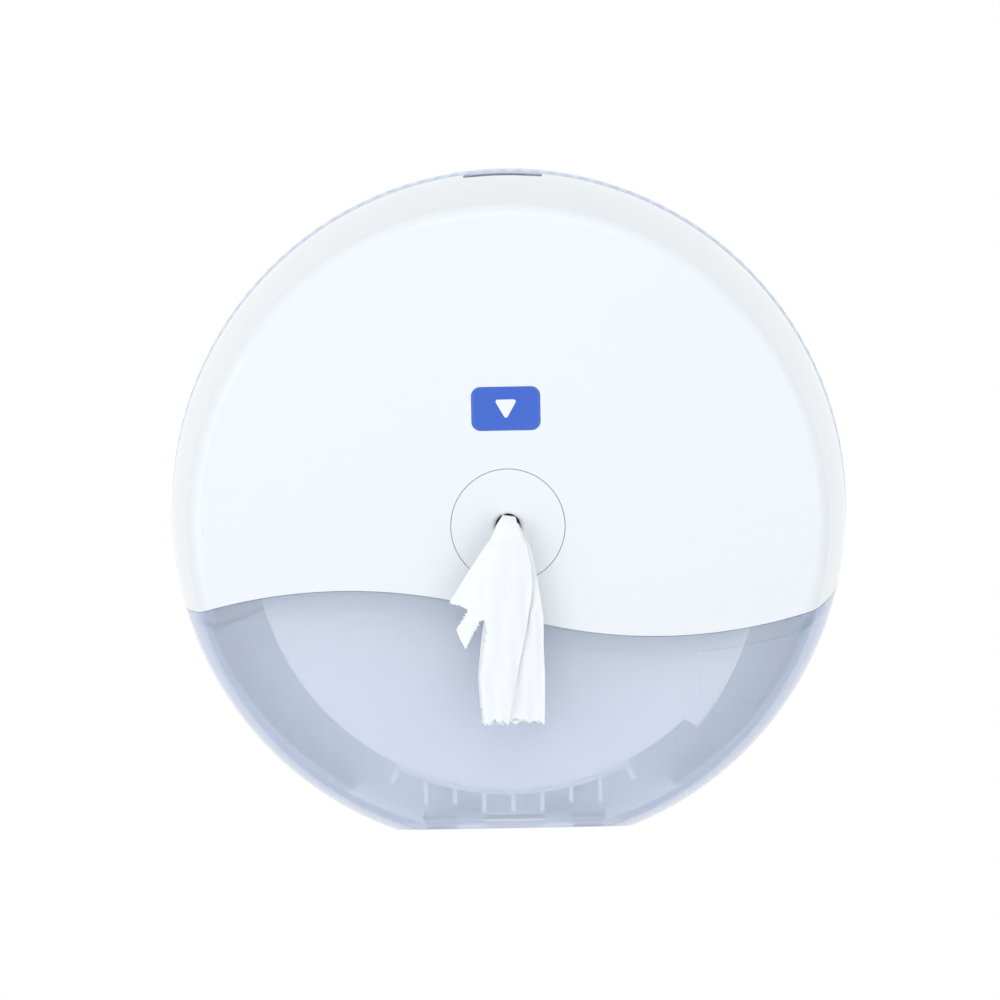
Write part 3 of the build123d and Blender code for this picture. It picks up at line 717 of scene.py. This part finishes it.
def arrow_outline(reach, corner, count):
    """Points round a triangle with round corners that points down: a circle cut in three, each part
    pushed out by reach towards its corner."""
    corner_a = np.radians([-90, 30, 150])
    a = np.linspace(-np.pi, np.pi, count, endpoint=False)
    nearest = corner_a[np.argmax(np.cos(a[:, None] - corner_a[None, :]), axis=1)]
    return reach * np.cos(nearest) + corner * np.cos(a), reach * np.sin(nearest) + corner * np.sin(a)


sign_blue = plastic("sign_blue", (0.045, 0.13, 0.60), 0.3)
sign_white = plastic("sign_white", (0.88, 0.90, 0.92), 0.3)
tile = rounded_outline(tile_half_w, tile_half_h, tile_corner, outline_points)
film("sign_tile", tile, tile_at, tile_proud, sign_blue)
film("sign_arrow", arrow_outline(arrow_r, arrow_corner, outline_points), arrow_at, arrow_proud, sign_white)

# %% [markdown]
# The camera stands a little above the dispenser and far away, so the picture is almost flat.
# The picture is turned by one degree, because the dispenser hangs a little crooked in it. The
# focal length is worked out from how wide the picture is at the wall.

# %% Camera
camera_far = 2.6
camera_up = np.radians(3.3)
camera_side = np.radians(0.3)
picture_wide = 0.4055
picture_turn = np.radians(1.06)
sensor_mm = 36.0
aim = Vector((-0.0035, -0.02, 0.0034))
toward = Vector(
    (np.sin(camera_side) * np.cos(camera_up), -np.cos(camera_side) * np.cos(camera_up), np.sin(camera_up))
)
camera_data = bpy.data.cameras.new("camera")
camera_data.sensor_width = sensor_mm
camera_data.lens = sensor_mm * camera_far / picture_wide
camera = bpy.data.objects.new("camera", camera_data)
bpy.context.scene.collection.objects.link(camera)
turned = toward.to_track_quat("Z", "Y").to_matrix().to_4x4() @ Matrix.Rotation(-picture_turn, 4, "Z")
camera.matrix_world = Matrix.Translation(aim + toward * camera_far) @ turned
bpy.context.scene.camera = camera
print("camera with a lens of", round(camera_data.lens, 1), "mm,", camera_far, "m away")

# %% [markdown]
# Soft studio light: three large lamps in front, one above and one on each side. The left one is
# the strongest, which leaves a soft shade on the right.

# %% Lamps
lamp_aim = (0, -0.07, 0)
lamps = {
    "top_lamp": {"place": (0.0, -1.6, 1.5), "size": (1.4, 0.9), "watts": 6.5},
    "left_lamp": {"place": (-1.6, -1.5, 0.3), "size": (0.9, 1.4), "watts": 8.0},
    "right_lamp": {"place": (1.6, -1.5, 0.3), "size": (0.9, 1.4), "watts": 5.5},
}


def area_lamp(name, place, size, watts):
    """Rectangular area lamp at place, turned to lamp_aim."""
    data = bpy.data.lights.new(name, "AREA")
    data.shape = "RECTANGLE"
    data.size, data.size_y = size
    data.energy = watts
    lamp = bpy.data.objects.new(name, data)
    bpy.context.scene.collection.objects.link(lamp)
    direction = Vector(lamp_aim) - Vector(place)
    lamp.rotation_euler = direction.to_track_quat("-Z", "Y").to_euler()
    lamp.location = place


for name, lamp in lamps.items():
    area_lamp(name, **lamp)
    print(name, lamp["watts"], "W")

# %% [markdown]
# World and floor look white to the eye, in reflections and through the window, but give the
# object no more light for it: only the rays that show them get the extra strength. The floor
# lies well below the dispenser and takes its shadow.


# %% Floor
def seen_rays(tree):
    """1 for the rays that show the surroundings (camera, glossy, transmission), else 0."""
    path = tree.nodes.new("ShaderNodeLightPath")
    seen = path.outputs["Is Camera Ray"]
    for kind in ("Is Glossy Ray", "Is Transmission Ray"):
        either = tree.nodes.new("ShaderNodeMath")
        either.operation = "MAXIMUM"
        tree.links.new(seen, either.inputs[0])
        tree.links.new(path.outputs[kind], either.inputs[1])
        seen = either.outputs[0]
    return seen


floor_z, floor_half, floor_front, floor_back = -0.6, 3, -3, 1.5
floor_corners = [
    (-floor_half, floor_front, floor_z),
    (floor_half, floor_front, floor_z),
    (floor_half, floor_back, floor_z),
    (-floor_half, floor_back, floor_z),
]
floor_data = bpy.data.meshes.new("floor")
floor_data.from_pydata(floor_corners, [], [(0, 1, 2, 3)])
floor = bpy.data.objects.new("floor", floor_data)
bpy.context.scene.collection.objects.link(floor)
floor_material, floor_tree, floor_shader, _ = new_material("pale_floor")
floor_shader.inputs["Base Color"].default_value = (0.9, 0.9, 0.9, 1)
floor_shader.inputs["Roughness"].default_value = 0.7
floor_shader.inputs["Emission Color"].default_value = (1, 1, 1, 1)
floor_glow = floor_tree.nodes.new("ShaderNodeMath")
floor_glow.operation = "MULTIPLY"
floor_glow.inputs[1].default_value = 0.4
floor_tree.links.new(seen_rays(floor_tree), floor_glow.inputs[0])
floor_tree.links.new(floor_glow.outputs[0], floor_shader.inputs["Emission Strength"])
floor_data.materials.append(floor_material)
print("floor at", floor_z)

# %% [markdown]
# The world lights the object from all round with a slightly cool sky. To the rays that show it,
# it is plain white at a strength of 1.

# %% World
sky_colour = (0.93, 0.97, 1.0, 1)
sky_strength = 0.76
world = bpy.data.worlds.new("studio")
bpy.context.scene.world = world
world.use_nodes = True
world_tree = world.node_tree
sky = world_tree.nodes["Background"]
seen = seen_rays(world_tree)
sky_tint = world_tree.nodes.new("ShaderNodeMix")
sky_tint.data_type = "RGBA"
sky_tint.inputs["A"].default_value = sky_colour
sky_tint.inputs["B"].default_value = (1, 1, 1, 1)
sky_level = world_tree.nodes.new("ShaderNodeMapRange")
sky_level.inputs["To Min"].default_value = sky_strength
sky_level.inputs["To Max"].default_value = 1.0
world_tree.links.new(seen, sky_level.inputs["Value"])
world_tree.links.new(seen, sky_tint.inputs["Factor"])
world_tree.links.new(sky_tint.outputs["Result"], sky.inputs["Color"])
world_tree.links.new(sky_level.outputs["Result"], sky.inputs["Strength"])
bpy.context.scene.view_settings.view_transform = "Standard"
print("world", sky_strength)
